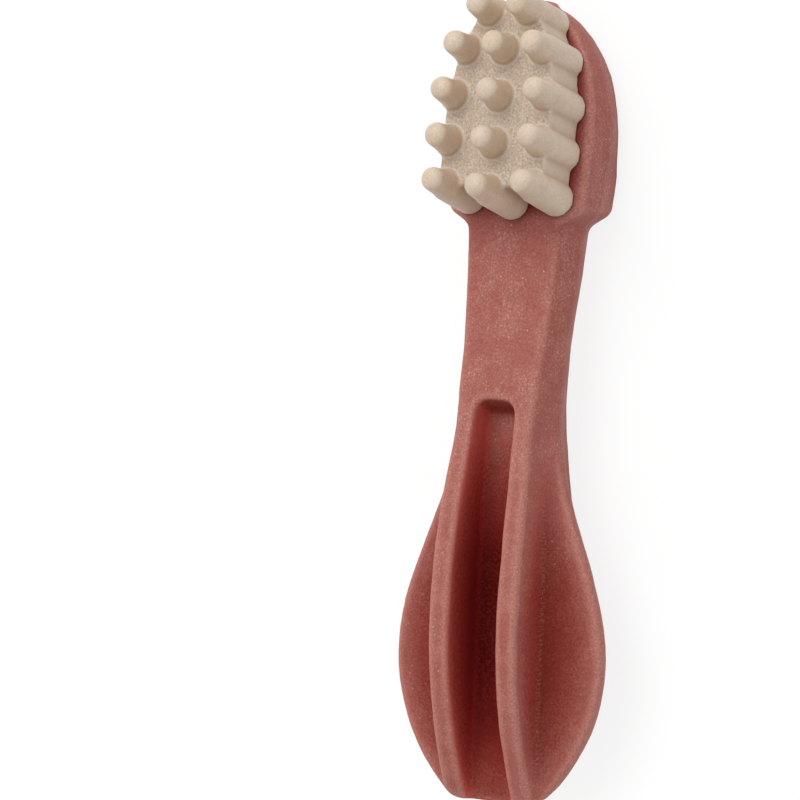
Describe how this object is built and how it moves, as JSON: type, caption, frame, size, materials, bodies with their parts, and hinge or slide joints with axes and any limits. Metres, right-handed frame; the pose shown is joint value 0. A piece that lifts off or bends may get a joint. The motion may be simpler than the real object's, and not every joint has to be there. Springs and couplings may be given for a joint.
{
  "type": "toothbrush-shaped dog dental chew",
  "caption": "Dental chew shaped like a toothbrush: a ribbed, bulbous handle and neck moulded with the head, and a cream pad of rounded nubs seated in the head's face.",
  "frame": {"origin": "middle of the footprint, on the surface that the chew lies on", "axes": "+X along the handle towards the head, +Z the way the nubs point, +Y across the handle"},
  "size_m": [0.12, 0.0342, 0.0264],
  "materials": {
    "coloured_chew": "matte dusty red vegetable-starch moulding with fine pale specks",
    "cream_chew": "waxy, slightly translucent cream vegetable-starch moulding with a grainy floor"
  },
  "bodies": {
    "root": {"handle_and_head": "coloured_chew", "bristle_pad": "cream_chew"}
  },
  "joints": []
}
